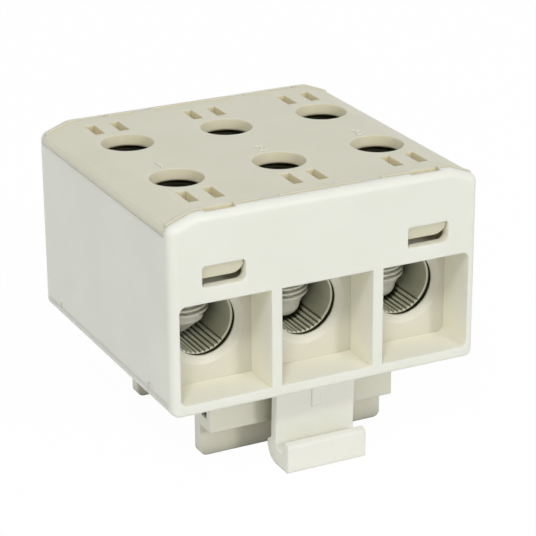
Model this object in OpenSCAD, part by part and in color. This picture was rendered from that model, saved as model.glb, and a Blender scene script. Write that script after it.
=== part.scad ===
// Three-pole feed-through terminal block that clips on a 35 mm rail.
// X runs along the row of poles, Y from the front entries to the rear ones, Z up.
// The origin is under the middle of the block, on the surface that the foot plates stand on.

/* [Conductor tubes] */
// Diameter of the bore that takes the conductor
bore_d = 9.34; // [8.4:0.02:9.8]
// Metal beside and below the bore
tube_wall = 1.73; // [1.5:0.01:2.0]
// Metal above the bore, which carries the screw threads
tube_roof = 11.6; // [10:0.1:13]
// Length of a tube
tube_l = 30.1; // [28:0.1:34]
// Number of grip grooves in the lower part of a bore
groove_n = 11; // [9:2:15]
// Angle between neighbouring grip grooves
groove_step = 8.5; // [7:0.1:9]
// Width of a grip groove
groove_w = 0.35; // [0.25:0.01:0.4]
// Depth of a grip groove
groove_depth = 0.2; // [0.15:0.01:0.3]
// Chamfer at the mouth of a bore
mouth_chamfer = 0.2; // [0.1:0.05:0.4]

/* [Clamp screws] */
// Thread diameter of a screw
screw_d = 8.0; // [7.2:0.1:8.6]
// Length of a screw from its top to its point
screw_l = 12.0; // [10:0.1:14]
// Diameter of the smooth point
point_d = 5.7; // [5.4:0.1:6.6]
// Length of the smooth point
point_l = 2.9; // [2.6:0.1:4.5]
// Radius that rounds off the point
point_round = 2.0; // [1.8:0.1:2.4]
// How much wider the point is where it leaves the thread
point_taper = 0.5; // [0:0.1:0.6]
// Diameter of the cone that the left pole's screws end in
cone_d = 6.4; // [6:0.1:6.6]
// Height of that cone
cone_h = 2.2; // [1.8:0.1:2.4]
// Diameter of the flat at the tip of that cone
cone_flat = 1.2; // [0.8:0.1:1.6]
// Width across the flats of the driving socket
socket_af = 5.0; // [4:0.1:5.5]
// Depth of the driving socket
socket_depth = 4.5; // [3:0.1:6]
// Distance from the end of a tube to the axis of a screw
screw_inset = 6.64; // [5.6:0.02:8]
// Gap between a point and the bottom of the bore, for the left, middle and right pole
tip_gaps = [0.7, 0.26, 0.22]; // [0.22:0.01:2]
// Free room between a screw and its thread
thread_clear = 0.05; // [0.03:0.01:0.1]

/* [Housing] */
// Distance between neighbouring poles
pole_pitch = 15.5; // [15.2:0.1:18]
// Thickness of the side walls
side_wall = 1.33; // [1:0.01:2]
// Thickness of the front and rear panels
panel_wall = 1.6; // [1.4:0.05:2.2]
// Thickness of the floor
floor_wall = 1.6; // [1.2:0.05:2.4]
// Thickness of the partitions between the entry cells
partition = 1.55; // [1.2:0.05:2]
// Free room beside a tube in its chamber
chamber_clear = 0.17; // [0.1:0.01:0.3]
// Depth of an entry cell
cell_depth = 6.4; // [5:0.1:8]
// Thickness of the wall at the back of an entry cell
entry_wall = 0.7; // [0.6:0.05:1.2]
// Height of an entry cell above the bore
cell_head = 1.28; // [1:0.02:2]
// Corner radius at the outer edges of the entry cells
cell_round = 1.0; // [0.5:0.1:1.5]
// Radius that rounds the front and rear edges of the block
edge_round = 1.2; // [0.8:0.1:1.25]
// Radius of the bottom corners seen from the front
base_round = 1.3; // [1.25:0.05:2]
// Radius of the shoulders seen from the front
shoulder_round = 1.4; // [1.25:0.05:2]
// Height of the shoulder slope
shoulder_drop = 1.2; // [0.8:0.05:1.6]
// Radius between the shoulder slope and the flat top
crown_round = 4.0; // [2:0.1:6]

/* [Lid] */
// Thickness of the lid
lid_t = 2.0; // [1.6:0.1:2.6]
// Height of the lid's edge at the sides of the block
lid_edge = 2.9; // [2.5:0.05:3.6]
// Gap along the seam between lid and housing
seam_gap = 0.05; // [0.03:0.01:0.2]
// Diameter of a screwdriver hole where it leaves the lid
driver_hole_d = 6.9; // [5:0.1:7]
// Diameter of a screwdriver hole at the lid's top
driver_mouth_d = 7.6; // [7.2:0.1:8.4]
// Depth of the funnel of a screwdriver hole
driver_funnel = 1.35; // [1:0.05:1.4]
// Thickness of the lid's edge round a screwdriver hole, over a wider relief
driver_edge_t = 1.55; // [1.45:0.05:1.55]
// Free height between the tubes and the lid
tube_headroom = 0.2; // [0.1:0.05:0.3]
// Width of a marker slot
slot_w = 1.55; // [1:0.05:2]
// Length of a marker slot
slot_l = 4.3; // [3:0.1:5]
// Depth of a marker slot
slot_depth = 1.3; // [0.6:0.1:1.4]
// Distance between the two marker slots of an entry
slot_spacing = 3.8; // [3:0.1:5]
// Distance from the block's front or rear face to a marker slot
slot_inset = 4.96; // [4.6:0.02:5.4]
// Height of the bead along the front and rear edges of the lid
bead_h = 0.18; // [0.1:0.02:0.3]
// Width of the bead
bead_w = 0.45; // [0.3:0.05:0.6]
// Length of the breaks in the bead at the partitions
bead_break = 2.55; // [2:0.05:4]
// Width of the notch above a tongue
notch_w = 4.5; // [3:0.1:6]
// Depth of the notch above a tongue
notch_depth = 0.5; // [0.3:0.05:0.8]
// Width of a snap window
window_w = 6.4; // [5:0.1:8]
// Height of a snap window
window_h = 3.05; // [2.6:0.05:3.6]
// Corner radius of a snap window
window_round = 0.5; // [0.2:0.05:0.8]
// Radius of a snap window's softer corner, at the lower right
window_low_round = 0.95; // [0.5:0.05:1.2]
// Height of a window above the entry cells
window_rise = 2.16; // [2:0.02:3]
// Thickness of a tongue
tongue_t = 1.4; // [1:0.05:1.8]
// Radius of the round lower corner of a tongue
tongue_round = 1.75; // [1:0.05:2]
// Distance from the block's face to a tongue's nose
nose_inset = 0.55; // [0.3:0.05:0.9]
// How far a tongue slopes back below its nose
nose_lead = 0.4; // [0.2:0.05:0.8]

/* [Rail foot] */
// Width of the rail
rail_w = 35; // [34.6:0.1:35.4]
// Thickness of the rail's flanges
rail_t = 1.0; // [0.8:0.05:1.2]
// Distance over the outer faces of the two foot plates, which stand in the rail's channel
plate_span = 24; // [23:0.1:24.6]
// Length of the foot along the rail
foot_l = 28.74; // [24:0.1:34]
// Height of the foot plates below the housing
foot_h = 12.2; // [12:0.1:14]
// Thickness of a foot plate
plate_t = 1.8; // [1.4:0.1:2.4]
// Corner radius of the foot plates
plate_round = 1.0; // [0.5:0.1:2]
// Height of the rail seat below the housing
seat_h = 7.2; // [6.8:0.1:7.6]
// Depth of a seat block in front of its foot plate
seat_depth = 3.4; // [3:0.1:3.8]
// Wall round the hollow ends of a seat block
seat_wall = 1.2; // [1:0.1:1.4]
// Depth of the hollow ends of a seat block
seat_core = 6; // [3:0.5:7]
// Width of the fixed hook and of the latch
hook_w = 12.2; // [10:0.1:14]
// Thickness of the fixed hook
hook_t = 2.0; // [1.5:0.1:2.5]
// How far the fixed hook and the latch reach under the rail
hook_grip = 1.0; // [0.6:0.1:1.4]
// Free height between a hook and the rail's flange
hook_clear = 0.3; // [0.2:0.05:0.6]

/* [Rail latch] */
// Thickness of the latch plate
latch_t = 1.45; // [1.2:0.05:1.8]
// Lean of the latch plate from its top to its hook
latch_lean = 0.4; // [0:0.05:0.6]
// Gap between the latch plate and the edge of the rail
latch_gap = 0.15; // [0.1:0.05:0.4]
// Thickness of the release lip
lip_t = 1.3; // [1:0.05:1.6]
// Gap between the release lip and the plate
lip_gap = 2.4; // [2:0.1:2.6]
// Height of the release lip
lip_h = 4.3; // [3.5:0.1:5]
// Depth of the groove behind the release lip
lip_groove = 2.3; // [1.5:0.1:3]
// Height of the latch's lowest point above the bottom of the foot plates
latch_lift = 0.1; // [0.1:0.05:0.5]
// Width of the rib at the top of the plate
rib_w = 1.3; // [0.8:0.1:2]
// Width of the guide tongue
guide_w = 8.8; // [7:0.1:10]
// Thickness of the guide tongue
guide_t = 1.6; // [1.2:0.1:2]
// Sliding clearance of the latch
slide_clear = 0.15; // [0.1:0.01:0.2]
// Thickness of the lug behind the spring
lug_t = 1.6; // [1.2:0.1:2]

/* [Latch spring] */
// Outer diameter of the spring
spring_d = 4.2; // [3.4:0.1:4.6]
// Diameter of the spring's wire
spring_wire = 0.5; // [0.4:0.02:0.6]
// Length of the fitted spring
spring_l = 9.0; // [8:0.1:10]
// Number of open turns
spring_turns = 6; // [4:1:7]
// Diameter of the pins that centre the spring
pin_d = 2.6; // [1.8:0.1:2.8]
// Length of the pins that centre the spring
pin_l = 1.2; // [0.8:0.1:1.5]

/* [Side marks] */
// Diameter of the round marks low on the sides
mark_d = 2.5; // [2:0.1:5]
// Depth of the marks
mark_depth = 0.2; // [0.1:0.05:0.3]
// Height of the middle of a mark above the housing's underside
mark_z = 1.4; // [0.6:0.1:3]
// Distance from a mark's middle to the front or rear face
mark_inset = 7.1; // [5:0.1:12]

/* [Hidden] */
$fn = 64;

// Overshoot of cuts past the faces that they open
over = 1;
// Number of straight pieces in an arc of a drawn outline
arc_steps = 8;

// Tubes and their chambers, with heights from the housing's underside
bore_r = bore_d / 2;
tube_r = bore_r + tube_wall;
saddle_rise = 1.95;
saddle_t = 1.6;
saddle_inset = 0.2;
saddle_clear = 0.05;
saddle_drop = 2.88;
bore_z = floor_wall + saddle_rise + tube_r;
saddle_top = bore_z - saddle_drop;
tube_top = bore_z + bore_r + tube_roof;
chamber_half = tube_r + chamber_clear;
tube_end_gap = 0.85;
stop_clear = 0.1;
stop_drop = 0.5;
screw_spacing = tube_l - 2 * screw_inset;

// Block size
block_w = 2 * (pole_pitch + chamber_half + side_wall);
block_d = tube_l + 2 * (cell_depth + entry_wall + tube_end_gap);
lid_under = tube_top + tube_headroom;
block_h = lid_under + lid_t;
front = -block_d / 2;
seam_z = block_h - lid_edge;
lid_rim = 1.6;
driver_relief = 0.6;
driver_relief_r = driver_mouth_d / 2 + driver_relief;

// Corners of the block's outline seen from the front
base_x = block_w / 2 - base_round;
base_edge_round = 0.5;
slope = [0.352, 0.936];
shoulder_z = block_h - shoulder_drop - shoulder_round * slope.y;
shoulder_x = block_w / 2 - shoulder_round;
crown_fall = crown_round * (1 - slope.y);
crown_x = shoulder_x + (shoulder_round - crown_round) * slope.x
    - (shoulder_drop - crown_fall) * slope.y / slope.x;

// Directions of the outline's faces, as pairs of short numbers so that the turned faces meet exactly
base_directions = [[0, -1], [0.352, -0.936], [0.658944, -0.752192], [0.936, -0.352], [1, 0]];
shoulder_directions = [[0.936, 0.352], [0.658944, 0.752192], slope];
crown_directions = [[0.28, 0.96], [0.07584, 0.99712], [0, 1]];

// Entry cells
cell_top = bore_z + bore_r + cell_head;
cell_back = front + cell_depth;
entry_back = cell_back + entry_wall;
hole_clear = 0.08;
hole_r = bore_r + hole_clear;
funnel_w = 1.12;
funnel_r = hole_r + funnel_w;
funnel_depth = 0.46;
ceiling_wall = 1.3;

// Snap windows and the tongues in them
window_z = cell_top + window_rise;
window_top = window_z + window_h;
tongue_w = window_w - 2 * seam_gap;
tongue_gap = 1.0;
tongue_end = window_z + tongue_gap;
tongue_front = front + panel_wall + seam_gap;
nose_h = 0.65;
tab_step = 0.35;
tab_inset = nose_inset + tab_step;
notch_lead = 0.4;

// Rail foot, with heights counted down from the housing's underside
plate_face = plate_span / 2;
seat_face = plate_face + seat_depth;
rail_edge = rail_w / 2;
hook_z = -seat_h - rail_t - hook_clear;
hook_nose = 1.2;
seat_floor = 1.7;
guide_gap = 0.35;
guide_top = -guide_gap;
guide_bottom = guide_top - guide_t;
guide_shoulder = 1;
spring_z = guide_bottom - guide_gap - spring_d / 2;
spring_front = -plate_face + plate_t;
lug_front = spring_front + spring_l;
coil_gap = 0.02;
spring_end_gap = 0.02;

// Points of an elliptic arc about a centre, with one radius across and one up
function arc(centre, across, up, from, to) = [
    for (i = [0:arc_steps])
        let (a = from + (to - from) * i / arc_steps)
        centre + [across * cos(a), up * sin(a)]
];

// Face of the outline that touches a corner arc: its direction, its distance from the origin
// and the radius of its front and rear edges, which is least under the block
function tangent(centre, r, direction) = [
    direction,
    centre * direction + r,
    edge_round - (edge_round - base_edge_round) * max(0, -direction.y)
];

// Faces of the block's outline seen from the front
function outline_faces() =
    let (
        right = concat(
            [for (d = base_directions) tangent([base_x, base_round], base_round, d)],
            [for (d = shoulder_directions) tangent([shoulder_x, shoulder_z], shoulder_round, d)],
            [for (d = crown_directions) tangent([crown_x, block_h - crown_round], crown_round, d)]
        )
    )
    concat(right, [for (face = right) if (face[0].x > 0) [[-face[0].x, face[0].y], face[1], face[2]]]);

// Stands a shape that is drawn in X and Z upright, with its thickness along Y from y0 to y1
module along_y(y0, y1) {
    translate([0, y1, 0])
        rotate([90, 0, 0])
            linear_extrude(y1 - y0)
                children();
}

// Stands a shape that is drawn in Y and Z upright, with its thickness along X from x0 to x1
module along_x(x0, x1) {
    translate([x0, 0, 0])
        rotate([90, 0, 90])
            linear_extrude(x1 - x0)
                children();
}

// Box between two corners
module box(low, high) {
    translate(low)
        cube(high - low);
}

// Repeats a shape at the front and, mirrored, at the rear
module front_and_rear() {
    children();
    mirror([0, 1, 0])
        children();
}

// Repeats a shape on both sides of the middle
module left_and_right() {
    children();
    mirror([1, 0, 0])
        children();
}

// Repeats a shape at the three poles
module each_pole() {
    for (pole = [-1:1])
        translate([pole * pole_pitch, 0, 0])
            children();
}

// Repeats a shape at the two outer poles
module each_outer_pole() {
    for (pole = [-1, 1])
        translate([pole * pole_pitch, 0, 0])
            children();
}

// Repeats a shape at the front and rear screw of one pole
module each_screw() {
    for (end = [-1, 1])
        translate([0, end * screw_spacing / 2, 0])
            children();
}

// Rectangle that hangs from a top edge and has a round corner at its lower right
module soft_corner(width, top, bottom, r) {
    translate([-width / 2, bottom + r])
        square([width, top - bottom - r]);
    translate([-width / 2, bottom])
        square([width - r, r]);
    translate([width / 2 - r, bottom + r])
        circle(r);
}

// Rectangle that hangs from a top edge and has two round corners at its lower edge
module tongue_shape(width, top, bottom, r) {
    translate([-width / 2, bottom + r])
        square([width, top - bottom - r]);
    translate([-width / 2 + r, bottom])
        square([width - 2 * r, r]);
    for (s = [-1, 1])
        translate([s * (width / 2 - r), bottom + r])
            circle(r);
}

// Outer form of housing and lid together, grown by a margin, with round edges at the front and rear
module block_form(grow) {
    intersection_for (face = outline_faces())
        rotate([0, -90 - atan2(face[0].y, face[0].x), 0])
            along_x(-block_w, block_w)
                tongue_shape(block_d, block_w, -face[1] - grow, face[2]);
}

// Space that the lid fills, with a margin all round
module lid_space(margin) {
    half_depth = block_d / 2 - panel_wall - margin;
    box([-block_w, -half_depth, seam_z + margin], [block_w, half_depth, block_h + over]);
}

// Face of an entry cell between two sides, with the corners at an outer side rounded
module cell_face(x0, x1, outer) {
    r = outer == 0 ? 0 : cell_round;
    low = outer < 0 ? x0 + r : x0;
    high = outer > 0 ? x1 - r : x1;
    translate([low, floor_wall])
        square([high - low, cell_top - floor_wall]);
    if (outer != 0) {
        translate([x0, floor_wall + r])
            square([x1 - x0, cell_top - floor_wall - 2 * r]);
        for (z = [floor_wall + r, cell_top - r])
            translate([outer < 0 ? low : high, z])
                circle(r);
    }
}

// Hollow of one front entry cell
module entry_cell(pole) {
    inner = pole_pitch / 2 - partition / 2;
    outer = chamber_half;
    x0 = pole * pole_pitch - (pole < 0 ? outer : inner);
    x1 = pole * pole_pitch + (pole > 0 ? outer : inner);
    along_y(front - over, cell_back)
        cell_face(x0, x1, pole);
}

// Hole through the wall behind an entry cell, with its funnel
module entry_hole() {
    translate([0, cell_back, bore_z])
        rotate([-90, 0, 0])
            rotate_extrude()
                polygon([
                    [0, -over],
                    [hole_r, -over],
                    [funnel_r, 0],
                    [hole_r, funnel_depth],
                    [hole_r, entry_wall + over],
                    [0, entry_wall + over]
                ]);
}

// Saddles and end stops that hold one tube in its chamber
module tube_seat() {
    last_saddle = tube_l / 2 - saddle_inset - saddle_t;
    difference() {
        for (y = [saddle_inset - tube_l / 2, -saddle_t / 2, last_saddle])
            box([-chamber_half, y, 0], [chamber_half, y + saddle_t, saddle_top]);
        along_y(front, -front)
            translate([0, bore_z])
                circle(tube_r + saddle_clear);
    }
    front_and_rear()
        box(
            [-chamber_half, entry_back, 0],
            [chamber_half, -tube_l / 2 - stop_clear, bore_z - hole_r - stop_drop]
        );
}

// Foot plate, seat block and the hollow ends of the block, at the front
module foot_side() {
    difference() {
        union() {
            along_y(-plate_face, -plate_face + plate_t)
                tongue_shape(foot_l, over, -foot_h, plate_round);
            box([-foot_l / 2, -seat_face, -seat_h], [foot_l / 2, -plate_face, over]);
        }
        left_and_right()
            box(
                [foot_l / 2 - seat_core, -seat_face + seat_wall, -seat_h + seat_floor],
                [foot_l / 2 + over, -plate_face - seat_wall / 2, -seat_wall]
            );
    }
}

// Way for the latch's guide tongue through the front of the foot
module guide_way() {
    half = guide_w / 2 + slide_clear;
    box([-half, -seat_face - over, guide_bottom - slide_clear], [half, spring_front + over, 0]);
}

// Pin that centres an end of the latch's spring
module spring_pin(y, length) {
    translate([0, y, spring_z])
        rotate([-90, 0, 0])
            cylinder(d = pin_d, h = length);
}

// Fixed hook that grips the rear edge of the rail
module fixed_hook() {
    back = rail_edge + hook_t;
    nose = rail_edge - hook_grip;
    along_x(-hook_w / 2, hook_w / 2)
        polygon([
            [rail_edge, over],
            [rail_edge, hook_z],
            [nose, hook_z],
            [nose, hook_z - hook_nose],
            [rail_edge, -foot_h + latch_lift],
            [back, -foot_h + latch_lift],
            [back, over]
        ]);
}

// Notch in the front panel for the tab above a tongue
module tab_notch() {
    box(
        [-notch_w / 2 - seam_gap, front + tab_inset, lid_under - seam_gap],
        [notch_w / 2 + seam_gap, tongue_front, block_h + over]
    );
}

// Snap window seen from the front, shrunk by a margin
module window_shape(margin) {
    side = window_w / 2 - margin;
    low = window_z + margin;
    high = window_top - margin;
    r = window_round;
    soft = window_low_round;
    polygon(concat(
        arc([side - soft, low + soft], soft, soft, -90, 0),
        arc([side - r, high - r], r, r, 0, 90),
        arc([r - side, high - r], r, r, 90, 180),
        arc([r - side, low + r], r, r, 180, 270)
    ));
}

// Hollows of the housing that repeat at the front and the rear
module end_hollows() {
    for (pole = [-1:1])
        entry_cell(pole);
    each_pole() {
        entry_hole();
        box(
            [-chamber_half, front + panel_wall, cell_top + ceiling_wall],
            [chamber_half, cell_back, block_h]
        );
    }
    each_outer_pole() {
        tab_notch();
        along_y(front - over, front + panel_wall + over)
            window_shape(0);
    }
}

module side_marks() {
    left_and_right()
        front_and_rear()
            translate([block_w / 2 - mark_depth, front + mark_inset, mark_z])
                rotate([0, 90, 0])
                    cylinder(d = mark_d, h = over);
}

module housing() {
    color([0.91, 0.91, 0.87])
        translate([0, 0, foot_h]) {
            difference() {
                block_form(0);
                lid_space(0);
                front_and_rear()
                    end_hollows();
                each_pole()
                    box([-chamber_half, entry_back, floor_wall], [chamber_half, -entry_back, block_h]);
                side_marks();
            }
            each_pole()
                intersection() {
                    tube_seat();
                    box([-chamber_half, entry_back, floor_wall / 2], [chamber_half, -entry_back, bore_z]);
                }
            difference() {
                union() {
                    front_and_rear()
                        foot_side();
                    fixed_hook();
                    spring_pin(spring_front, pin_l);
                }
                guide_way();
                box([-block_w, front, floor_wall / 2], [block_w, -front, 2 * over]);
            }
        }
}

// Screwdriver hole with its funnel and the relief under its edge
module driver_hole() {
    rotate_extrude()
        polygon([
            [0, lid_under - over],
            [driver_relief_r, lid_under - over],
            [driver_relief_r, block_h - driver_edge_t],
            [driver_hole_d / 2, block_h - driver_edge_t],
            [driver_hole_d / 2, block_h - driver_funnel],
            [driver_mouth_d / 2, block_h],
            [driver_mouth_d / 2, block_h + over],
            [0, block_h + over]
        ]);
}

// Pair of marker slots of one front entry
module marker_slots() {
    left_and_right()
        box(
            [slot_spacing / 2 - slot_w / 2, front + slot_inset, block_h - slot_depth],
            [slot_spacing / 2 + slot_w / 2, front + slot_inset + slot_l, block_h + over]
        );
}

// Bead along the lid's front edge, with breaks at the partitions and the notches
module edge_bead() {
    difference() {
        intersection() {
            block_form(bead_h);
            box([-block_w, tongue_front, seam_z + lid_edge / 2], [block_w, tongue_front + bead_w, block_h + over]);
        }
        left_and_right() {
            translate([pole_pitch / 2, 0, 0])
                box([-bead_break / 2, front, 0], [bead_break / 2, 0, block_h + over]);
            translate([pole_pitch, 0, 0])
                box([-notch_w / 2, front, 0], [notch_w / 2, 0, block_h + over]);
        }
    }
}

// Snap tongue with the nose that catches in a front window
module snap_tongue() {
    nose = front + nose_inset;
    back = tongue_front + tongue_t;
    intersection() {
        along_x(-tongue_w, tongue_w)
            polygon([
                [back, lid_under],
                [nose, lid_under],
                [nose, window_top - nose_h],
                [nose + nose_lead, tongue_end],
                [nose + nose_lead, tongue_end - over],
                [back, tongue_end - over]
            ]);
        along_y(front, 0)
            soft_corner(tongue_w, block_h, tongue_end, tongue_round);
        union() {
            box([-block_w, tongue_front, 0], [block_w, 0, block_h]);
            along_y(front, tongue_front + over)
                window_shape(2 * seam_gap);
        }
    }
}

// Tab of the lid that fills the notch in the front panel above a tongue
module lid_tab() {
    box(
        [-notch_w / 2, front + tab_inset + seam_gap, lid_under],
        [notch_w / 2, tongue_front + over, block_h - notch_depth]
    );
}

module lid() {
    inner_x = block_w / 2 - side_wall;
    inner_y = block_d / 2 - panel_wall - lid_rim;
    color([0.83, 0.81, 0.74])
        translate([0, 0, foot_h]) {
            difference() {
                union() {
                    intersection() {
                        block_form(0);
                        lid_space(seam_gap);
                    }
                    front_and_rear()
                        edge_bead();
                }
                box([-inner_x, -inner_y, 0], [inner_x, inner_y, lid_under]);
                each_pole() {
                    each_screw()
                        driver_hole();
                    front_and_rear()
                        marker_slots();
                }
                front_and_rear()
                    each_outer_pole()
                        box(
                            [-notch_w / 2, front, block_h - notch_depth],
                            [notch_w / 2, tongue_front + notch_lead, block_h + over]
                        );
            }
            front_and_rear()
                each_outer_pole() {
                    snap_tongue();
                    lid_tab();
                }
        }
}

// Bore seen from the front, with grip grooves in its lower part
module bore_shape() {
    circle(bore_r);
    for (i = [0:groove_n - 1])
        rotate(-90 + (i - (groove_n - 1) / 2) * groove_step)
            polygon([
                [bore_r - groove_depth / 2, -groove_w * 3 / 4],
                [bore_r + groove_depth, 0],
                [bore_r - groove_depth / 2, groove_w * 3 / 4]
            ]);
}

module conductor_tube(pole) {
    color([0.72, 0.73, 0.70])
        translate([pole * pole_pitch, 0, foot_h])
            difference() {
                along_y(-tube_l / 2, tube_l / 2)
                    difference() {
                        union() {
                            translate([0, bore_z])
                                circle(tube_r);
                            translate([-tube_r, bore_z])
                                square([2 * tube_r, tube_top - bore_z]);
                        }
                        translate([0, bore_z])
                            bore_shape();
                    }
                front_and_rear()
                    translate([0, -tube_l / 2, bore_z])
                        rotate([-90, 0, 0])
                            cylinder(r1 = bore_r + mouth_chamfer, r2 = bore_r - over, h = mouth_chamfer + over);
                each_screw()
                    translate([0, 0, bore_z])
                        cylinder(d = screw_d + 2 * thread_clear, h = tube_top - bore_z + over);
            }
}

// Screw of a pole on its own axis, with its point at the origin
module screw_form(pole) {
    top_chamfer = 0.5;
    point_r = point_d / 2;
    neck_r = point_r + point_taper;
    tip = pole < 0
        ? [[cone_flat / 2, 0], [cone_d / 2, cone_h]]
        : arc([point_r - point_round, point_round], point_round, point_round, -90, 0);
    difference() {
        rotate_extrude()
            polygon(concat(
                [[0, 0]],
                tip,
                [
                    [neck_r, point_l],
                    [screw_d / 2, point_l + screw_d / 2 - neck_r],
                    [screw_d / 2, screw_l - top_chamfer],
                    [screw_d / 2 - top_chamfer, screw_l],
                    [0, screw_l]
                ]
            ));
        translate([0, 0, screw_l - socket_depth])
            cylinder(d = socket_af / cos(30), h = socket_depth + over, $fn = 6);
    }
}

// Clamp screw of a pole, at the front or rear by the sign of its end
module clamp_screw(pole, end) {
    tip_z = bore_z - bore_r + tip_gaps[pole + 1];
    color([0.70, 0.70, 0.66])
        translate([pole * pole_pitch, end * screw_spacing / 2, foot_h + tip_z])
            screw_form(pole);
}

// Side view of the latch plate with its hook and release lip
module latch_section() {
    back = -rail_edge - latch_gap;
    face = back - latch_t;
    tip = -rail_edge + hook_grip;
    bottom = -foot_h + latch_lift;
    lip_back = face - lip_gap;
    lip_face = lip_back - lip_t;
    lip_top = bottom + lip_h;
    groove_z = lip_top - lip_groove;
    groove_r = lip_gap / 2;
    groove_sag = 0.72;
    lip_edge = 0.2;
    nose_t = 0.8;
    nose_z = hook_z - nose_t;
    ramp = tip - face;
    polygon(concat(
        [
            [face - latch_lean, guide_top],
            [face, groove_z + groove_r]
        ],
        arc([lip_back + groove_r, groove_z + groove_sag], groove_r, groove_sag, 0, -180),
        [
            [lip_back, lip_top - lip_edge],
            [lip_back - lip_edge, lip_top],
            [lip_face + lip_edge, lip_top - lip_edge],
            [lip_face, lip_top - 2 * lip_edge],
            [lip_face, bottom + lip_edge],
            [lip_face + lip_edge, bottom]
        ],
        arc([tip - ramp, nose_z], ramp, nose_z - bottom, -90, 0),
        [
            [back, hook_z],
            [back - latch_lean, guide_top]
        ]
    ));
}

module rail_latch() {
    face = -rail_edge - latch_gap - latch_t - latch_lean;
    shoulder_half = guide_w / 2 + guide_shoulder;
    shoulder_back = -seat_face - slide_clear;
    rib_h = 4.4;
    rib_rise = 0.12;
    rib_slope = 0.6;
    color([0.89, 0.89, 0.84])
        translate([0, 0, foot_h]) {
            along_x(-hook_w / 2, hook_w / 2)
                latch_section();
            along_x(-rib_w / 2, rib_w / 2)
                polygon([
                    [face - rib_rise, guide_top],
                    [face - rib_rise, guide_top - rib_h + rib_slope],
                    [face + latch_t / 2, guide_top - rib_h],
                    [face + latch_t / 2, guide_top]
                ]);
            box([-shoulder_half, face + latch_t / 2, guide_bottom], [shoulder_half, shoulder_back, guide_top]);
            box([-guide_w / 2, shoulder_back - over, guide_bottom], [guide_w / 2, lug_front + lug_t, guide_top]);
            along_y(lug_front, lug_front + lug_t)
                tongue_shape(guide_w, guide_top - guide_t / 2, spring_z - spring_d / 2, spring_d / 2);
            spring_pin(lug_front - pin_l, pin_l + lug_t / 2);
        }
}

// Height of the spring's wire along its length, with one closed turn at each end
function spring_rise(turn) =
    let (
        closed = spring_wire + coil_gap,
        open_l = spring_l - spring_wire - 2 * (spring_end_gap + closed)
    )
    turn < 1 ? turn * closed
    : turn > spring_turns + 1 ? closed + open_l + (turn - spring_turns - 1) * closed
    : closed + (turn - 1) / spring_turns * open_l;

// Ring of points round the spring's wire at a turn
function spring_ring(turn, sides) =
    let (
        r = spring_d / 2 - spring_wire / 2,
        out = [cos(360 * turn), 0, sin(360 * turn)]
    )
    [
        for (i = [0:sides - 1])
            let (a = 360 * i / sides)
            out * (r + spring_wire / 2 * cos(a))
                + [0, spring_rise(turn) + spring_wire / 2 * sin(a), 0]
    ];

module latch_spring() {
    sides = 8;
    steps = 18;
    last = (spring_turns + 2) * steps;
    points = [for (k = [0:last]) each spring_ring(k / steps, sides)];
    walls = [
        for (k = [0:last - 1], i = [0:sides - 1])
            let (j = (i + 1) % sides)
            [k * sides + i, k * sides + j, (k + 1) * sides + j, (k + 1) * sides + i]
    ];
    first_cap = [for (i = [sides - 1:-1:0]) i];
    last_cap = [for (i = [0:sides - 1]) last * sides + i];
    color([0.60, 0.60, 0.60])
        translate([0, spring_front + spring_wire / 2 + spring_end_gap, foot_h + spring_z])
            polyhedron(points, concat(walls, [first_cap, last_cap]));
}

housing();
lid();
conductor_tube(-1);  // left_tube
conductor_tube(0);  // middle_tube
conductor_tube(1);  // right_tube
clamp_screw(-1, -1);  // left_front_screw
clamp_screw(0, -1);  // middle_front_screw
clamp_screw(1, -1);  // right_front_screw
clamp_screw(-1, 1);  // left_rear_screw
clamp_screw(0, 1);  // middle_rear_screw
clamp_screw(1, 1);  // right_rear_screw
rail_latch();
latch_spring();
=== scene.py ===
"""Looks of the three-pole feed-through terminal block, built around its CAD frame."""

import math

import bmesh
import bpy
from mathutils import Matrix, Vector


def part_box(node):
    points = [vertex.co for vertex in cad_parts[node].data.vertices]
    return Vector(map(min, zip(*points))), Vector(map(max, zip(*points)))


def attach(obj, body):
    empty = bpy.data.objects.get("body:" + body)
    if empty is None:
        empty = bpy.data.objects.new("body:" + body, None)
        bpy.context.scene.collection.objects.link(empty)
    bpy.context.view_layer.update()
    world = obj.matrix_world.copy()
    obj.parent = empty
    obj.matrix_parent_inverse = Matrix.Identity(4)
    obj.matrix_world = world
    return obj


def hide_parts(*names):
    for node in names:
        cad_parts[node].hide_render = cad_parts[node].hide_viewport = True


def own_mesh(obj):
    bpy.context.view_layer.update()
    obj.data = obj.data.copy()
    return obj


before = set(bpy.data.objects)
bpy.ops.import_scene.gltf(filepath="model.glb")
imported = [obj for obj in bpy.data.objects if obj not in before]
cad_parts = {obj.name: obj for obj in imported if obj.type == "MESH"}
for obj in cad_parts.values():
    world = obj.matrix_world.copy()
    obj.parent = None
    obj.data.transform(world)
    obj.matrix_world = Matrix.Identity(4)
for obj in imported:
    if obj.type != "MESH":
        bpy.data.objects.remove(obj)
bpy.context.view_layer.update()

MM = 0.001
POLES = ("left", "middle", "right")
ENDS = ("front", "rear")
SMOOTH_ANGLE = math.radians(35)
JOIN_DISTANCE = 0.0005 * MM

# Clamp screws
SCREW_SEGMENTS = 72
SCREW_CLEAR = 0.03 * MM
POINT_LENGTH = 2.9 * MM
POINT_RADIUS = 2.85 * MM
POINT_ROUND = 2.0 * MM
POINT_RINGS = 8
CONE_RADIUS = 3.2 * MM
CONE_HEIGHT = 2.2 * MM
CONE_FLAT = 0.6 * MM
NECK_RADIUS = 3.35 * MM
TOP_CHAMFER = 0.5 * MM
SOCKET_FLATS = 5.0 * MM
SOCKET_DEPTH = 4.5 * MM
SOCKET_TIP = 0.8 * MM
SOCKET_FLARE = 0.5 * MM
SOCKET_FLARE_DEPTH = 0.3 * MM

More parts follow.
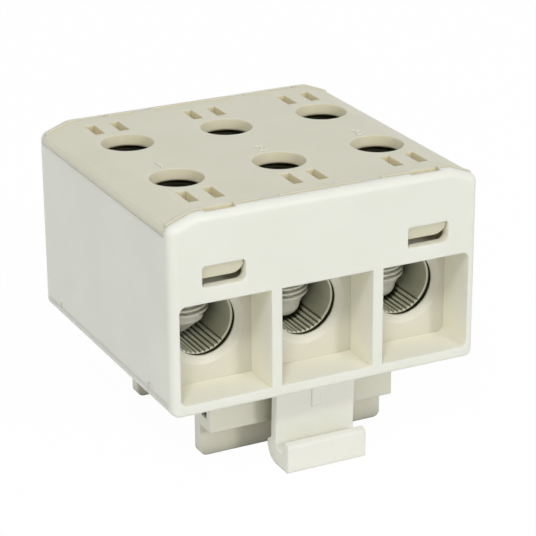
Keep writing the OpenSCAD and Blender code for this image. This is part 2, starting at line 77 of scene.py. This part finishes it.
# Threads on the screws, and the ridges that cut those in the tubes
THREAD_PITCH = 0.75 * MM
THREAD_DEPTH = 0.4 * MM
THREAD_FLAT = 0.12
THREAD_STEPS = 14
TUBE_THREAD_DEPTH = 0.38 * MM
HOLE_CLEAR = 0.05 * MM
RIDGE_HALF_BASE = 0.4 * THREAD_PITCH
RIDGE_HALF_TIP = 0.06 * MM
RIDGE_OVERLAP = 0.15 * MM
RIDGE_DROP = 2 * MM

# Latch spring, with one closed turn at each end
SPRING_WIRE = 0.5 * MM
SPRING_TURNS = 6
SPRING_CLOSED_PITCH = 1.04 * SPRING_WIRE
SPRING_SIDES = 12
SPRING_STEPS = 36

# Raised pole numbers on the lid, whose edge bead stands above its face
BEAD_RISE = 0.18 * MM
NUMBER_SIZE = 3.4 * MM
NUMBER_RISE = 0.1 * MM
NUMBER_EDGE = 0.04 * MM
NUMBER_BASE = -3.85 * MM

# Camera at the photograph's viewpoint
CAMERA_PLACE = (-0.13059, -0.26642, 0.13979)
CAMERA_SENSOR = 36
CAMERA_LENS = 148.534
CAMERA_HEADING = 26.526
CAMERA_TILT = 21.718
CAMERA_ROLL = -0.348
CAMERA_NEAR = 0.01

# Lamps, background and floor
LAMP_DISTANCE = 1.2
LAMP_AIM = (0, 0, 0.02)
AMBIENT_TONE = (0.97, 0.985, 1)
AMBIENT_LEVEL = 0.52
WHITE = (1, 1, 1)
WHITE_LEVEL = 1.006
FLOOR_HALF = 3.0
FLOOR_TONE = (0.82, 0.82, 0.80)
FLOOR_WHITE_SHARE = 0.97

# All materials
NOISE_LOW = 0.3
NOISE_HIGH = 0.7
SHADE_SAMPLES = 6
EDGE_SAMPLES = 6
GLOSS_DETAIL = 3
GRAIN_HEIGHT = 0.02 * MM

# Plastic, with the shares of open sky between which a painted tone for shut-in places fades out: painted
# light in the hollows of the housing and latch, painted shade in the hollows of the lid and numbers, on
# back faces and as the latch's shadow at the foot
MOTTLE_SCALE = 90
MOTTLE_DETAIL = 4
PLASTIC_GLOSS_SCALE = 400
PLASTIC_GLOSS_SPREAD = 0.05
PLASTIC_GRAIN_SCALE = 5200
PLASTIC_GRAIN_DETAIL = 2
PLASTIC_GRAIN_STRENGTH = 0.12
PLASTIC_EDGE = 0.22 * MM
PLASTIC_SPECULAR = 0.4
GLOW_SHARE = 0.5
GLOW_RADIUS = (0.9, 0.93, 1)
GLOW_REACH = 1.4 * MM
HOLLOW_REACH = 12 * MM
HOLLOW_SKY = (0.5, 0.97)
BACK_FACING = 0.6
FOOT_TOP = 12 * MM
FOOT_REACH = 4 * MM
FOOT_SKY = (0.36, 0.57)

# Metal, with the same kind of shares for its painted shade in grooves and deep in bores
STREAK_SCALE = 900
STREAK_DETAIL = 4
METAL_GLOSS_SCALE = 1500
METAL_GLOSS_LESS = 0.06
METAL_GLOSS_MORE = 0.08
METAL_GRAIN_SCALE = 6000
METAL_GRAIN_DETAIL = 3
METAL_GRAIN_STRENGTH = 0.15
GROOVE_REACH = 0.9 * MM
GROOVE_SKY = (0.55, 0.8)
BORE_REACH = 14 * MM
BORE_SKY = (-0.02, 0.05)
BORE_FLOOR_FACING = 0.72
BORE_RIM_FACING = 0.3
END_FACING = 0.98
SCREW_HOLE_TOP = 32 * MM


def add_object(name, data):
    """Adds an object to the scene."""
    added = bpy.data.objects.new(name, data)
    bpy.context.scene.collection.objects.link(added)
    return added


def make_camera():
    """Puts the camera where the photograph was taken from."""
    data = bpy.data.cameras.new("camera")
    data.sensor_width = CAMERA_SENSOR
    data.lens = CAMERA_LENS
    data.clip_start = CAMERA_NEAR
    camera = add_object("camera", data)
    turn = (
        Matrix.Rotation(-math.radians(CAMERA_HEADING), 4, "Z")
        @ Matrix.Rotation(math.radians(90 - CAMERA_TILT), 4, "X")
        @ Matrix.Rotation(math.radians(CAMERA_ROLL), 4, "Z")
    )
    camera.matrix_world = Matrix.Translation(CAMERA_PLACE) @ turn
    bpy.context.scene.camera = camera


def add_lamp(name, azimuth, height, size, level):
    """Adds a square area lamp in a direction, which alone would show white paper at a level."""
    data = bpy.data.lights.new(name, "AREA")
    data.size = size
    data.energy = level * (math.pi * LAMP_DISTANCE) ** 2
    lamp = add_object(name, data)
    turn = (
        Matrix.Rotation(math.radians(azimuth), 4, "Z")
        @ Matrix.Rotation(math.radians(90 - height), 4, "X")
    )
    lamp.matrix_world = Matrix.Translation(LAMP_AIM) @ turn @ Matrix.Translation((0, 0, LAMP_DISTANCE))


def maths(tree, operation, *values):
    """Adds a maths node on values that are numbers or the outputs of nodes."""
    node = tree.nodes.new("ShaderNodeMath")
    node.operation = operation
    for socket, value in zip(node.inputs, values):
        if isinstance(value, (int, float)):
            socket.default_value = value
        else:
            tree.links.new(value, socket)
    return node.outputs[0]


def seen_ray(tree):
    """Gives 1 for camera, glossy and transmission rays, and 0 for the rays that light the object."""
    rays = tree.nodes.new("ShaderNodeLightPath").outputs
    seen = maths(tree, "MAXIMUM", rays["Is Camera Ray"], rays["Is Glossy Ray"])
    return maths(tree, "MAXIMUM", seen, rays["Is Transmission Ray"])


def glow(tree, kind, tone, level):
    """Adds a shader that gives light of a tone at a level."""
    node = tree.nodes.new(kind)
    node.inputs["Color"].default_value = (*tone, 1)
    node.inputs["Strength"].default_value = level
    return node


def mixed_shaders(tree, share, first, second):
    """Mixes two shaders by a share."""
    mix = tree.nodes.new("ShaderNodeMixShader")
    tree.links.new(share, mix.inputs[0])
    tree.links.new(first.outputs[0], mix.inputs[1])
    tree.links.new(second.outputs[0], mix.inputs[2])
    return mix.outputs[0]


def make_world():
    """Makes a white background that lights the object at a lower level."""
    world = bpy.data.worlds.new("studio")
    world.use_nodes = True
    bpy.context.scene.world = world
    tree = world.node_tree
    tree.nodes.clear()
    ambient = glow(tree, "ShaderNodeBackground", AMBIENT_TONE, AMBIENT_LEVEL)
    white = glow(tree, "ShaderNodeBackground", WHITE, WHITE_LEVEL)
    output = tree.nodes.new("ShaderNodeOutputWorld")
    tree.links.new(mixed_shaders(tree, seen_ray(tree), ambient, white), output.inputs["Surface"])


def make_floor():
    """Makes the pale floor, which shows white and keeps a faint shadow."""
    corners = [(FLOOR_HALF * x, FLOOR_HALF * y, 0) for x, y in ((-1, -1), (1, -1), (1, 1), (-1, 1))]
    mesh = bpy.data.meshes.new("floor")
    mesh.from_pydata(corners, [], [(0, 1, 2, 3)])
    floor = add_object("floor", mesh)
    material = bpy.data.materials.new("floor")
    material.use_nodes = True
    tree = material.node_tree
    tree.nodes.clear()
    paper = tree.nodes.new("ShaderNodeBsdfDiffuse")
    paper.inputs["Color"].default_value = (*FLOOR_TONE, 1)
    white = glow(tree, "ShaderNodeEmission", WHITE, WHITE_LEVEL)
    share = maths(tree, "MULTIPLY", seen_ray(tree), FLOOR_WHITE_SHARE)
    output = tree.nodes.new("ShaderNodeOutputMaterial")
    tree.links.new(mixed_shaders(tree, share, paper, white), output.inputs["Surface"])
    paint(floor, material)


def base_material(name):
    """Makes a material with one Principled shader, and returns it with its node tree and shader."""
    material = bpy.data.materials.new(name)
    material.use_nodes = True
    return material, material.node_tree, material.node_tree.nodes["Principled BSDF"]


def noise(tree, scale, detail, stretch=(1, 1, 1)):
    """Adds a noise in the object's own metres, drawn out along an axis by a small stretch value."""
    place = tree.nodes.new("ShaderNodeTexCoord")
    mapping = tree.nodes.new("ShaderNodeMapping")
    mapping.inputs["Scale"].default_value = stretch
    texture = tree.nodes.new("ShaderNodeTexNoise")
    texture.inputs["Scale"].default_value = scale
    texture.inputs["Detail"].default_value = detail
    tree.links.new(place.outputs["Object"], mapping.inputs["Vector"])
    tree.links.new(mapping.outputs["Vector"], texture.inputs["Vector"])
    return texture.outputs["Fac"]


def ramp(tree, value, low, high):
    """Gives a colour between two by a noise value."""
    node = tree.nodes.new("ShaderNodeValToRGB")
    first, last = node.color_ramp.elements
    first.position = NOISE_LOW
    first.color = (*low, 1)
    last.position = NOISE_HIGH
    last.color = (*high, 1)
    tree.links.new(value, node.inputs["Fac"])
    return node.outputs["Color"]


def vary_roughness(tree, shader, low, high, value):
    """Varies a shader's roughness between two values by a noise value."""
    node = tree.nodes.new("ShaderNodeMapRange")
    node.inputs["From Min"].default_value = NOISE_LOW
    node.inputs["From Max"].default_value = NOISE_HIGH
    node.inputs["To Min"].default_value = low
    node.inputs["To Max"].default_value = high
    tree.links.new(value, node.inputs["Value"])
    tree.links.new(node.outputs["Result"], shader.inputs["Roughness"])


def soften_edges(tree, shader, radius, grain, strength):
    """Rounds the edges that a shader shows and gives it a fine grain."""
    bevel = tree.nodes.new("ShaderNodeBevel")
    bevel.samples = EDGE_SAMPLES
    bevel.inputs["Radius"].default_value = radius
    bump = tree.nodes.new("ShaderNodeBump")
    bump.inputs["Strength"].default_value = strength
    bump.inputs["Distance"].default_value = GRAIN_HEIGHT
    tree.links.new(grain, bump.inputs["Height"])
    tree.links.new(bevel.outputs["Normal"], bump.inputs["Normal"])
    tree.links.new(bump.outputs["Normal"], shader.inputs["Normal"])


def mixed(tree, share, first, second):
    """Mixes two colours, each of them plain values or the output of a node."""
    tone = tree.nodes.new("ShaderNodeMix")
    tone.data_type = "RGBA"
    tree.links.new(share, tone.inputs["Factor"])
    for name, colour in (("A", first), ("B", second)):
        if isinstance(colour, tuple):
            tone.inputs[name].default_value = (*colour, 1)
        else:
            tree.links.new(colour, tone.inputs[name])
    return tone.outputs["Result"]


def shaded(tree, colour, painted_hollow, reach, sky):
    """Paints light and shade into a colour: changes it to another one where the surface is shut in,
    between two shares of open sky.
    """
    shade = tree.nodes.new("ShaderNodeAmbientOcclusion")
    shade.samples = SHADE_SAMPLES
    shade.inputs["Distance"].default_value = reach
    share = tree.nodes.new("ShaderNodeMapRange")
    share.inputs["From Min"].default_value = sky[0]
    share.inputs["From Max"].default_value = sky[1]
    tree.links.new(shade.outputs["AO"], share.inputs["Value"])
    return mixed(tree, share.outputs["Result"], painted_hollow, colour)


def geometry_part(tree, name, axis):
    """Gives one coordinate of the surface's position or true normal."""
    place = tree.nodes.new("ShaderNodeNewGeometry")
    parts = tree.nodes.new("ShaderNodeSeparateXYZ")
    tree.links.new(place.outputs[name], parts.inputs["Vector"])
    return parts.outputs[axis]


def facing(tree, axis, least):
    """Gives 1 on faces that look at least so far along an axis, either way, and 0 elsewhere."""
    size = maths(tree, "ABSOLUTE", geometry_part(tree, "True Normal", axis))
    return maths(tree, "GREATER_THAN", size, least)


def above(tree, height):
    """Gives 1 above a height and 0 below it."""
    return maths(tree, "GREATER_THAN", geometry_part(tree, "Position", "Z"), height)


def plastic(name, pale, deep, painted_hollow, roughness, painted_back_shade=None, painted_foot_shadow=None):
    """Moulded plastic with a mottle and a fine grain, a painted tone of light and shade in its hollows,
    painted shade on its back faces and a painted shadow at its foot.
    """
    material, tree, shader = base_material(name)
    mottle = ramp(tree, noise(tree, MOTTLE_SCALE, MOTTLE_DETAIL), deep, pale)
    # Painted tone for shut-in places: painted shade on faces across Y, the painted hollow tone elsewhere
    inner = mixed(tree, facing(tree, "Y", BACK_FACING), painted_hollow, painted_back_shade) if painted_back_shade else painted_hollow
    colour = shaded(tree, mottle, inner, HOLLOW_REACH, HOLLOW_SKY)
    # Painted shadow of the latch on the foot, below a height
    if painted_foot_shadow:
        dim = shaded(tree, colour, painted_foot_shadow, FOOT_REACH, FOOT_SKY)
        colour = mixed(tree, above(tree, FOOT_TOP), dim, colour)
    tree.links.new(colour, shader.inputs["Base Color"])
    gloss = noise(tree, PLASTIC_GLOSS_SCALE, GLOSS_DETAIL)
    vary_roughness(tree, shader, roughness - PLASTIC_GLOSS_SPREAD, roughness + PLASTIC_GLOSS_SPREAD, gloss)
    grain = noise(tree, PLASTIC_GRAIN_SCALE, PLASTIC_GRAIN_DETAIL)
    soften_edges(tree, shader, PLASTIC_EDGE, grain, PLASTIC_GRAIN_STRENGTH)
    shader.inputs["Specular IOR Level"].default_value = PLASTIC_SPECULAR
    shader.inputs["Subsurface Weight"].default_value = GLOW_SHARE
    shader.inputs["Subsurface Radius"].default_value = GLOW_RADIUS
    shader.inputs["Subsurface Scale"].default_value = GLOW_REACH
    return material


def bore_plating(tree, streaks, plating, dull, bright, share):
    """Paints shade on the walls of a bore, dimming plating to a share there, but not on its floor or at
    its rim.
    """
    dim_dull, dim_bright = (tuple(share * part for part in tone) for tone in (dull, bright))
    dim = ramp(tree, streaks, dim_dull, dim_bright)
    bore_floor = facing(tree, "Z", BORE_FLOOR_FACING)
    rim = facing(tree, "Y", BORE_RIM_FACING)
    return mixed(tree, maths(tree, "MAXIMUM", bore_floor, rim), dim, plating)


def metal(name, bright, dull, painted_shade, roughness, edge, metallic, stretch=(1, 1, 1), end_shade_axis=None, bore_shade=None):
    """Plated metal with fine streaks, painted shade in its grooves and on its flat ends, and painted shade
    on the walls of a bore, deep inside it and in the screw holes above it.
    """
    material, tree, shader = base_material(name)
    streaks = noise(tree, STREAK_SCALE, STREAK_DETAIL, stretch)
    plating = ramp(tree, streaks, dull, bright)
    if bore_shade:
        plating = bore_plating(tree, streaks, plating, dull, bright, bore_shade)
    # Painted shade in grooves, thread roots and narrow gaps
    shaded_plating = shaded(tree, plating, painted_shade, GROOVE_REACH, GROOVE_SKY)
    if bore_shade:
        # Painted shade deep in the bore, and a painted dark tone in the screw holes above a height
        shaded_plating = shaded(tree, shaded_plating, painted_shade, BORE_REACH, BORE_SKY)
        shaded_plating = mixed(tree, above(tree, SCREW_HOLE_TOP), shaded_plating, painted_shade)
    # Painted shade on faces that look along one axis, such as the tube's ends and the screws' tops
    if end_shade_axis:
        shaded_plating = mixed(tree, facing(tree, end_shade_axis, END_FACING), shaded_plating, painted_shade)
    tree.links.new(shaded_plating, shader.inputs["Base Color"])
    gloss = noise(tree, METAL_GLOSS_SCALE, GLOSS_DETAIL, stretch)
    vary_roughness(tree, shader, roughness - METAL_GLOSS_LESS, roughness + METAL_GLOSS_MORE, gloss)
    grain = noise(tree, METAL_GRAIN_SCALE, METAL_GRAIN_DETAIL, stretch)
    soften_edges(tree, shader, edge, grain, METAL_GRAIN_STRENGTH)
    shader.inputs["Metallic"].default_value = metallic
    return material


def paint(piece, material):
    """Gives an object one material."""
    piece.data.materials.clear()
    piece.data.materials.append(material)


def smooth(mesh):
    """Shades a mesh smooth except at its sharp edges."""
    mesh.polygons.foreach_set("use_smooth", [True] * len(mesh.polygons))
    mesh.set_sharp_from_angle(angle=SMOOTH_ANGLE)


def add_piece(name, mesh, body, nodes=()):
    """Adds a new piece that rides on a body and may stand for CAD nodes."""
    piece = add_object(name, mesh)
    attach(piece, body)
    if nodes:
        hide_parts(*nodes)
    return piece


def ring_mesh(name, rings, low=None, high=None):
    """Makes a closed mesh from rings of points, with a middle point or a flat cap at each end."""
    shell = bmesh.new()
    made = [[shell.verts.new(point) for point in ring] for ring in rings]
    count = len(made[0])
    for lower, upper in zip(made, made[1:]):
        for i in range(count):
            j = (i + 1) % count
            shell.faces.new((lower[i], lower[j], upper[j], upper[i]))
    for ring, middle, order in ((made[0], low, -1), (made[-1], high, 1)):
        if middle is None:
            shell.faces.new(ring[::order])
            continue
        tip = shell.verts.new(middle)
        for i in range(count):
            j = (i + 1) % count
            shell.faces.new((tip, ring[i], ring[j])[::order])
    mesh = bpy.data.meshes.new(name)
    shell.to_mesh(mesh)
    shell.free()
    return mesh


def thread_wave(turns):
    """Height of a V thread with narrow flats, from 0 at its root to 1 at its crest."""
    along = turns - math.floor(turns)
    rise = abs(2 * along - 1)
    return min(1, max(0, (rise - THREAD_FLAT) / (1 - 2 * THREAD_FLAT)))


def hexagon_radius(angle, flats):
    """Distance from the middle of a hexagon to its side in a direction."""
    step = math.pi / 3
    return flats / 2 / math.cos((angle + step / 2) % step - step / 2)


def point_steps(pole):
    """Radius and height of each ring of a screw's point, a cone at the left pole and else rounded."""
    if pole == "left":
        return [(CONE_FLAT, 0), (CONE_RADIUS, CONE_HEIGHT)]
    steps = []
    for i in range(1, POINT_RINGS + 1):
        a = math.radians(90 * i / POINT_RINGS)
        radius = POINT_RADIUS - POINT_ROUND + POINT_ROUND * math.sin(a)
        steps.append((radius, POINT_ROUND * (1 - math.cos(a))))
    return steps


def screw_mesh(name, point, centre, bottom, top, radius):
    """Set screw with a point, a helical thread and a hexagon socket."""
    angles = [2 * math.pi * i / SCREW_SEGMENTS for i in range(SCREW_SEGMENTS)]
    start = bottom + POINT_LENGTH
    end = top - TOP_CHAMFER
    floor = top - SOCKET_DEPTH
    root = radius - THREAD_DEPTH

    def ring(z, radii):
        """Ring of points at a height, with a radius for each angle."""
        return [
            (centre.x + r * math.cos(a), centre.y + r * math.sin(a), z)
            for r, a in zip(radii, angles)
        ]

    def round_ring(z, reach):
        """Ring of one radius at a height."""
        return ring(z, [reach] * SCREW_SEGMENTS)

    def socket_ring(z, flats):
        """Hexagonal ring at a height."""
        return ring(z, [hexagon_radius(a, flats) for a in angles])

    def thread_reach(z, a):
        """Radius of the thread at a height and an angle, which grows out of the neck."""
        wave = thread_wave((z - bottom) / THREAD_PITCH - a / (2 * math.pi))
        return min(radius, NECK_RADIUS + z - start, root + THREAD_DEPTH * wave)

    rings = [round_ring(bottom + z, r) for r, z in point]
    rings.append(round_ring(start, NECK_RADIUS))
    rows = int((end - start) / THREAD_PITCH * THREAD_STEPS)
    for i in range(1, rows + 1):
        z = start + (end - start) * i / rows
        rings.append(ring(z, [thread_reach(z, a) for a in angles]))
    rings.append(round_ring(top, radius - TOP_CHAMFER))
    rings.append(socket_ring(top, SOCKET_FLATS + SOCKET_FLARE))
    rings.append(socket_ring(top - SOCKET_FLARE_DEPTH, SOCKET_FLATS))
    rings.append(socket_ring(floor, SOCKET_FLATS))
    tip = (centre.x, centre.y, bottom)
    socket_tip = (centre.x, centre.y, floor - SOCKET_TIP)
    mesh = ring_mesh(name, rings, low=tip, high=socket_tip)
    smooth(mesh)
    return mesh


def make_screws(material):
    """Replaces the six clamp screws by threaded ones."""
    for pole in POLES:
        for end in ENDS:
            node = f"{pole}_{end}_screw"
            low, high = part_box(node)
            centre = (low + high) / 2
            radius = (high.x - low.x) / 2 - SCREW_CLEAR
            mesh = screw_mesh(f"{node}_threaded", point_steps(pole), centre, low.z, high.z, radius)
            piece = add_piece(f"{node}_threaded", mesh, f"{pole}_{end}_clamp", [node])
            paint(piece, material)


def thread_cutter(centre, low, high, radius):
    """Helical ridge that cuts the thread of one screw hole."""
    turns = (high - low) / THREAD_PITCH
    steps = int(turns * SCREW_SEGMENTS / 2)
    profile = (
        (-RIDGE_OVERLAP, -RIDGE_HALF_BASE),
        (TUBE_THREAD_DEPTH, -RIDGE_HALF_TIP),
        (TUBE_THREAD_DEPTH, RIDGE_HALF_TIP),
        (-RIDGE_OVERLAP, RIDGE_HALF_BASE),
    )
    rings = []
    for i in range(steps + 1):
        turn = turns * i / steps
        a = 2 * math.pi * turn
        out = Vector((math.cos(a), math.sin(a), 0))
        hub = Vector((centre.x, centre.y, low + turn * THREAD_PITCH))
        rings.append([hub + out * (radius + reach) + Vector((0, 0, rise)) for reach, rise in profile])
    mesh = ring_mesh("thread_cutter", rings)
    shell = bmesh.new()
    shell.from_mesh(mesh)
    bmesh.ops.recalc_face_normals(shell, faces=shell.faces)
    shell.to_mesh(mesh)
    shell.free()
    return add_object("thread_cutter", mesh)


def plain_copy(node):
    """Copies a CAD node's mesh without its stored normals, with double points joined."""
    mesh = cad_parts[node].data.copy()
    if "custom_normal" in mesh.attributes:
        mesh.attributes.remove(mesh.attributes["custom_normal"])
    shell = bmesh.new()
    shell.from_mesh(mesh)
    bmesh.ops.remove_doubles(shell, verts=shell.verts, dist=JOIN_DISTANCE)
    shell.to_mesh(mesh)
    shell.free()
    return mesh


def make_tubes(material):
    """Replaces the three conductor tubes, which are alike, by copies of one with threaded holes."""
    tube_low, tube_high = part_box("middle_tube")
    thread_low = (tube_low.z + tube_high.z) / 2 - RIDGE_DROP
    thread_high = tube_high.z + THREAD_PITCH
    blank = add_object("tube_blank", plain_copy("middle_tube"))
    cutters = []
    for end in ENDS:
        low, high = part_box(f"middle_{end}_screw")
        radius = (high.x - low.x) / 2 + HOLE_CLEAR
        cutter = thread_cutter((low + high) / 2, thread_low, thread_high, radius)
        change = blank.modifiers.new(cutter.name, "BOOLEAN")
        change.operation = "DIFFERENCE"
        change.solver = "EXACT"
        change.object = cutter
        cutters.append(cutter)
    graph = bpy.context.evaluated_depsgraph_get()
    threaded = bpy.data.meshes.new_from_object(blank.evaluated_get(graph))
    for spare in [blank, *cutters]:
        bpy.data.objects.remove(spare)
    smooth(threaded)
    for pole in POLES:
        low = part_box(f"{pole}_tube")[0]
        mesh = threaded.copy()
        mesh.transform(Matrix.Translation(low - tube_low))
        piece = add_piece(f"{pole}_tube_threaded", mesh, "block", [f"{pole}_tube"])
        paint(piece, material)


def make_spring(material):
    """Replaces the latch spring, which shortens as the latch slides out, by a finer coil."""
    low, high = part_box("latch_spring")
    axis = (low + high) / 2
    wire = SPRING_WIRE / 2
    radius = (high.x - low.x) / 2 - wire
    open_length = high.y - low.y - SPRING_WIRE - 2 * SPRING_CLOSED_PITCH
    sides = [2 * math.pi * i / SPRING_SIDES for i in range(SPRING_SIDES)]
    rings = []
    for k in range((SPRING_TURNS + 2) * SPRING_STEPS + 1):
        turn = k / SPRING_STEPS
        closed_turns = min(turn, 1) + max(turn - SPRING_TURNS - 1, 0)
        open_share = min(max(turn - 1, 0), SPRING_TURNS) / SPRING_TURNS
        along = SPRING_CLOSED_PITCH * closed_turns + open_share * open_length
        a = 2 * math.pi * turn
        out = Vector((math.cos(a), 0, math.sin(a)))
        hub = Vector((axis.x, low.y + wire + along, axis.z))
        rings.append([
            hub + out * (radius + wire * math.cos(b)) + Vector((0, wire * math.sin(b), 0))
            for b in sides
        ])
    mesh = ring_mesh("latch_spring_coil", rings)
    smooth(mesh)
    piece = add_piece("latch_spring_coil", mesh, "block", ["latch_spring"])
    paint(piece, material)
    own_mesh(piece)


def make_numbers(material):
    """Raises a plain pole number on the lid behind each front screw hole."""
    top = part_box("lid")[1].z - BEAD_RISE
    for number, pole in enumerate(POLES, 1):
        low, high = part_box(f"{pole}_tube")
        words = bpy.data.curves.new(f"{pole}_number", "FONT")
        words.body = str(number)
        words.size = NUMBER_SIZE
        words.align_x = "CENTER"
        words.extrude = NUMBER_RISE
        words.bevel_depth = NUMBER_EDGE
        words.bevel_resolution = 1
        drawn = add_object("drawn_number", words)
        graph = bpy.context.evaluated_depsgraph_get()
        mesh = bpy.data.meshes.new_from_object(drawn.evaluated_get(graph))
        bpy.data.objects.remove(drawn)
        mesh.transform(Matrix.Translation(((low.x + high.x) / 2, NUMBER_BASE, top)))
        smooth(mesh)
        piece = add_piece(f"{pole}_number", mesh, "block")
        paint(piece, material)


# Studio
make_camera()
make_world()
make_floor()
add_lamp("left_key", azimuth=-35, height=50, size=0.16, level=0.28)
add_lamp("right_key", azimuth=19, height=23, size=0.2, level=0.245)
add_lamp("left_fill", azimuth=-60, height=14, size=0.8, level=0.09)

# Materials
# Housing: painted light in the hollows, painted shade on back faces in the hollows, and the latch's shadow
# painted dark at the foot
housing_plastic = plastic(
    "housing_plastic",
    pale=(0.81, 0.81, 0.73),
    deep=(0.78, 0.78, 0.70),
    painted_hollow=(0.89, 0.87, 0.75),
    roughness=0.42,
    painted_back_shade=(0.74, 0.715, 0.60),
    painted_foot_shadow=(0.25, 0.26, 0.18),
)
# Lid: painted shade in the hollows
lid_plastic = plastic(
    "lid_plastic",
    pale=(0.71, 0.69, 0.555),
    deep=(0.68, 0.66, 0.525),
    painted_hollow=(0.70, 0.645, 0.46),
    roughness=0.5,
)
# Numbers: a lighter copy of the lid plastic as a painted highlight on the raised strokes, with painted
# shade in their hollows
lit_number_plastic = plastic(
    "lit_number_plastic",
    pale=(0.85, 0.83, 0.71),
    deep=(0.82, 0.80, 0.68),
    painted_hollow=(0.82, 0.79, 0.65),
    roughness=0.5,
)
# Latch: painted light in the hollows
latch_plastic = plastic(
    "latch_plastic",
    pale=(0.76, 0.76, 0.70),
    deep=(0.73, 0.73, 0.67),
    painted_hollow=(0.85, 0.845, 0.765),
    roughness=0.42,
)
# Tube: painted shade in the grooves, on the bore walls, deep in the bore, in the screw holes and on the
# flat ends
tube_metal = metal(
    "tube_metal",
    bright=(0.97, 0.97, 0.80),
    dull=(0.91, 0.91, 0.74),
    painted_shade=(0.04, 0.04, 0.015),
    roughness=0.5,
    edge=0.05 * MM,
    metallic=0,
    stretch=(1, 0.05, 1),
    end_shade_axis="Y",
    bore_shade=0.7,
)
# Screws: painted shade in the thread roots and on faces that look up or down, such as the tops in the
# driver holes
screw_steel = metal(
    "screw_steel",
    bright=(0.92, 0.91, 0.80),
    dull=(0.86, 0.85, 0.74),
    painted_shade=(0.10, 0.10, 0.06),
    roughness=0.55,
    edge=0.06 * MM,
    metallic=0.35,
    end_shade_axis="Z",
)
# Spring: painted shade between the coils
spring_steel = metal(
    "spring_steel",
    bright=(0.58, 0.58, 0.57),
    dull=(0.48, 0.48, 0.47),
    painted_shade=(0.2, 0.2, 0.2),
    roughness=0.3,
    edge=0.03 * MM,
    metallic=1,
)

# Pieces
paint(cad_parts["housing"], housing_plastic)
paint(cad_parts["lid"], lid_plastic)
paint(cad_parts["rail_latch"], latch_plastic)
make_screws(screw_steel)
make_tubes(tube_metal)
make_spring(spring_steel)
make_numbers(lit_number_plastic)

bpy.context.scene.view_settings.view_transform = "Standard"
